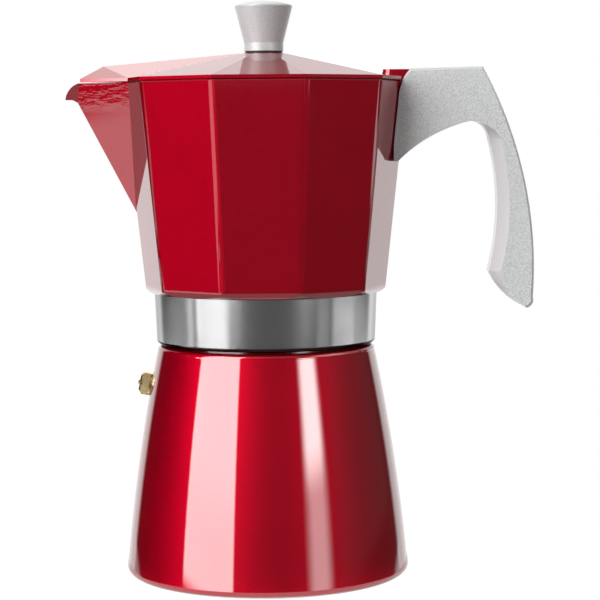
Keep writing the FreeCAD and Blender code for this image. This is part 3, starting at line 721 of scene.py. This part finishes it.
def dark_fibre(name):
    """Pressed dark fibre with a dry, speckled face."""
    made, tree, shader = finish(name)
    at = facing(tree)
    speck = noise(tree, at, 1500.0, 3.0)
    looks = {
        "Base Color": mixed(tree, between(tree, speck, 0.35, 0.7), FIBRE_DARK, FIBRE_LIGHT),
        "Roughness": between(tree, speck, 0.3, 0.7, 0.55, 0.75),
        "Normal": bumped(tree, 0.3, 0.00005, speck),
    }
    feed(tree, shader, looks)
    return made


dress("knob", satin_silver("satin_silver"))
dress("knob_washer", dark_fibre("dark_fibre"))
dress("knob_insert", valve_brass)
pan_screw("knob_pan_screw", "knob_screw", "lid")


# Floor: a plain pale disc, a little wider than the pot's foot, that the pot stands on.
# The camera and the pot's own metal see it as almost white; the foot's shadow falls on it.
FLOOR_RADIUS = 0.075
FLOOR_DROP = 0.0002
FLOOR_SIDES = 96
FLOOR_DARK, FLOOR_LIGHT = (0.34, 0.34, 0.34, 1), (0.36, 0.36, 0.36, 1)
FLOOR_GLOW = 0.82
floor = as_piece("floor", lathe([(0, -FLOOR_DROP), (FLOOR_RADIUS, -FLOOR_DROP)], FLOOR_SIDES))
floor_finish, floor_tree, floor_shader = finish("pale_floor")
floor_place = floor_tree.nodes.new("ShaderNodeTexCoord").outputs["Object"]
sheen = add(floor_tree, "ShaderNodeTexNoise", {"Vector": floor_place, "Scale": 8.0})
rays = floor_tree.nodes.new("ShaderNodeLightPath").outputs
mirrored = calc(floor_tree, "MAXIMUM", rays["Is Glossy Ray"], rays["Is Transmission Ray"])
shown = calc(floor_tree, "MAXIMUM", rays["Is Camera Ray"], mirrored)
floor_looks = {
    "Base Color": mixed(floor_tree, sheen, FLOOR_DARK, FLOOR_LIGHT),
    "Roughness": 0.9,
    "Specular IOR Level": 0.0,
    "Emission Color": (1, 1, 1, 1),
    "Emission Strength": times(floor_tree, shown, FLOOR_GLOW),
}
feed(floor_tree, floor_shader, floor_looks)
floor.data.materials.append(floor_finish)


# Studio light: a tall soft panel on the left, a narrow strip on the right, a white sweep behind, in a dim room.
# The low bands are what the upright collar mirrors, with gaps where the jug's sides look.
# The camera sees plain white where it looks past the pot.
WHITE = 1.0
PANELS = {
    # Bearings from the front to left and right, low and high elevation, softness of each, strength.
    "dim room": [(-60, 200, -100, 100, 12, 5, 0.04)],
    "left panel": [(-70, -26, -3.6, 55, 1.2, 0.6, 6.4), (-70, -26, 4, 55, 1.2, 4, 1.0)],
    "right strip": [(36.5, 53.5, -3.4, 19, 5, 0.6, 3.2), (36, 53, 6.4, 19, 3.5, 2.5, 6.5)],
    "right wall": [(62, 128, -4, 22, 8, 1, 0.06), (60, 125, 24, 50, 8, 4, 2.2)],
    "low bands": [
        (-72, -38, -13.5, -7.2, 2.5, 0.8, 1.05),
        (-98, -87, -9.8, -8.0, 2, 0.4, 0.65),
        (-87, -79.4, -9.8, -8.0, 0.8, 0.4, 2.3),
        (-74.6, -70.5, -10, -8.0, 0.8, 0.4, 2.6),
        (57, 71, -10.6, -8.6, 1, 0.4, 0.85),
        (75, 106, -9.8, -8.0, 0.8, 0.4, 1.9),
        (-140, -98, -11, -8.0, 4, 0.4, 0.75),
        (106, 140, -9.8, -7.8, 3, 0.4, 1.05),
        (-30, 44, -10.4, -7.4, 6, 0.5, 0.15),
    ],
    "glow under the spout": [(-98, -85, -20.5, -12.5, 2, 1, 1.2), (-100, -42, -34, -22.1, 5, 0.5, 1.4)],
    "table": [(-200, 200, -100, -34, 5, 3, 0.45)],
    "ceiling": [(-40, 60, 40, 66, 6, 4, 0.35)],
    "white sweep": [
        (-200, -138, -34, 10, 4, 3, 1.45),
        (-200, -138, 10, 60, 4, 3, 1.2),
        (138, 200, -34, 8, 4, 3, 1.4),
        (138, 200, 8, 60, 4, 3, 1.05),
    ],
    "bright top of the sweep": [(-200, -132, 32, 60, 4, 3, 1.9), (165, 200, 32, 60, 4, 3, 1.2)],
}
world = bpy.data.worlds.new("studio")
bpy.context.scene.world = world
world.use_nodes = True
sky = world.node_tree
sky.nodes.clear()
look = sky.nodes.new("ShaderNodeSeparateXYZ")
sky.links.new(sky.nodes.new("ShaderNodeTexCoord").outputs["Generated"], look.inputs[0])
bearing = calc(sky, "ARCTAN2", look.outputs["X"], times(sky, look.outputs["Y"], -1.0))
turn = times(sky, bearing, math.degrees(1))
tilt = times(sky, calc(sky, "ARCSINE", look.outputs["Z"]), math.degrees(1))


def span(value, low, high, soft):
    """1 between two angles, with soft ends."""
    starts = between(sky, value, low - soft, low + soft)
    return times(sky, starts, between(sky, value, high - soft, high + soft, 1, 0))


def panel(left, right, low, high, soft_turn, soft_tilt, strength):
    """Lit panel between two bearings and two elevations, in degrees."""
    lit_part = times(sky, span(turn, left, right, soft_turn), span(tilt, low, high, soft_tilt))
    return times(sky, lit_part, strength)


room = 0.0
for panels in PANELS.values():
    for edges in panels:
        room = calc(sky, "ADD", room, panel(*edges))
seen = add(sky, "ShaderNodeLightPath", {}, output="Is Camera Ray")
glow = blended(sky, seen, room, WHITE)
lit = add(sky, "ShaderNodeBackground", {"Color": (1, 1, 1, 1), "Strength": glow})
sky.links.new(lit, sky.nodes.new("ShaderNodeOutputWorld").inputs["Surface"])


# Camera: a long lens a little above the pot's middle, two degrees round to the handle's side.
# It looks slightly down at the pot's middle and is tipped a little about its own axis.
CAMERA_BEARING = math.radians(2.0)
CAMERA_DISTANCE = 0.850
CAMERA_HEIGHT = 0.188
CAMERA_ROLL = math.radians(-0.4)
AIM_SIDEWAYS = 0.01448
AIM_HEIGHT = 0.11515
SENSOR_WIDTH = 36.0
FOCAL_LENGTH = 120.66
bpy.context.scene.view_settings.view_transform = "Standard"
ahead = Vector((math.sin(CAMERA_BEARING), -math.cos(CAMERA_BEARING), 0))
beside = Vector((math.cos(CAMERA_BEARING), math.sin(CAMERA_BEARING), 0))
stand = CAMERA_DISTANCE * ahead + Vector((0, 0, CAMERA_HEIGHT))
aim = AIM_SIDEWAYS * beside + Vector((0, 0, AIM_HEIGHT))
lens = bpy.data.cameras.new("camera")
lens.sensor_fit = "HORIZONTAL"
lens.sensor_width = SENSOR_WIDTH
lens.lens = FOCAL_LENGTH
camera = bpy.data.objects.new("camera", lens)
bpy.context.scene.collection.objects.link(camera)
camera.location = stand
rolled = (aim - stand).to_track_quat("-Z", "Y") @ Quaternion((0, 0, 1), CAMERA_ROLL)
camera.rotation_euler = rolled.to_euler()
bpy.context.scene.camera = camera
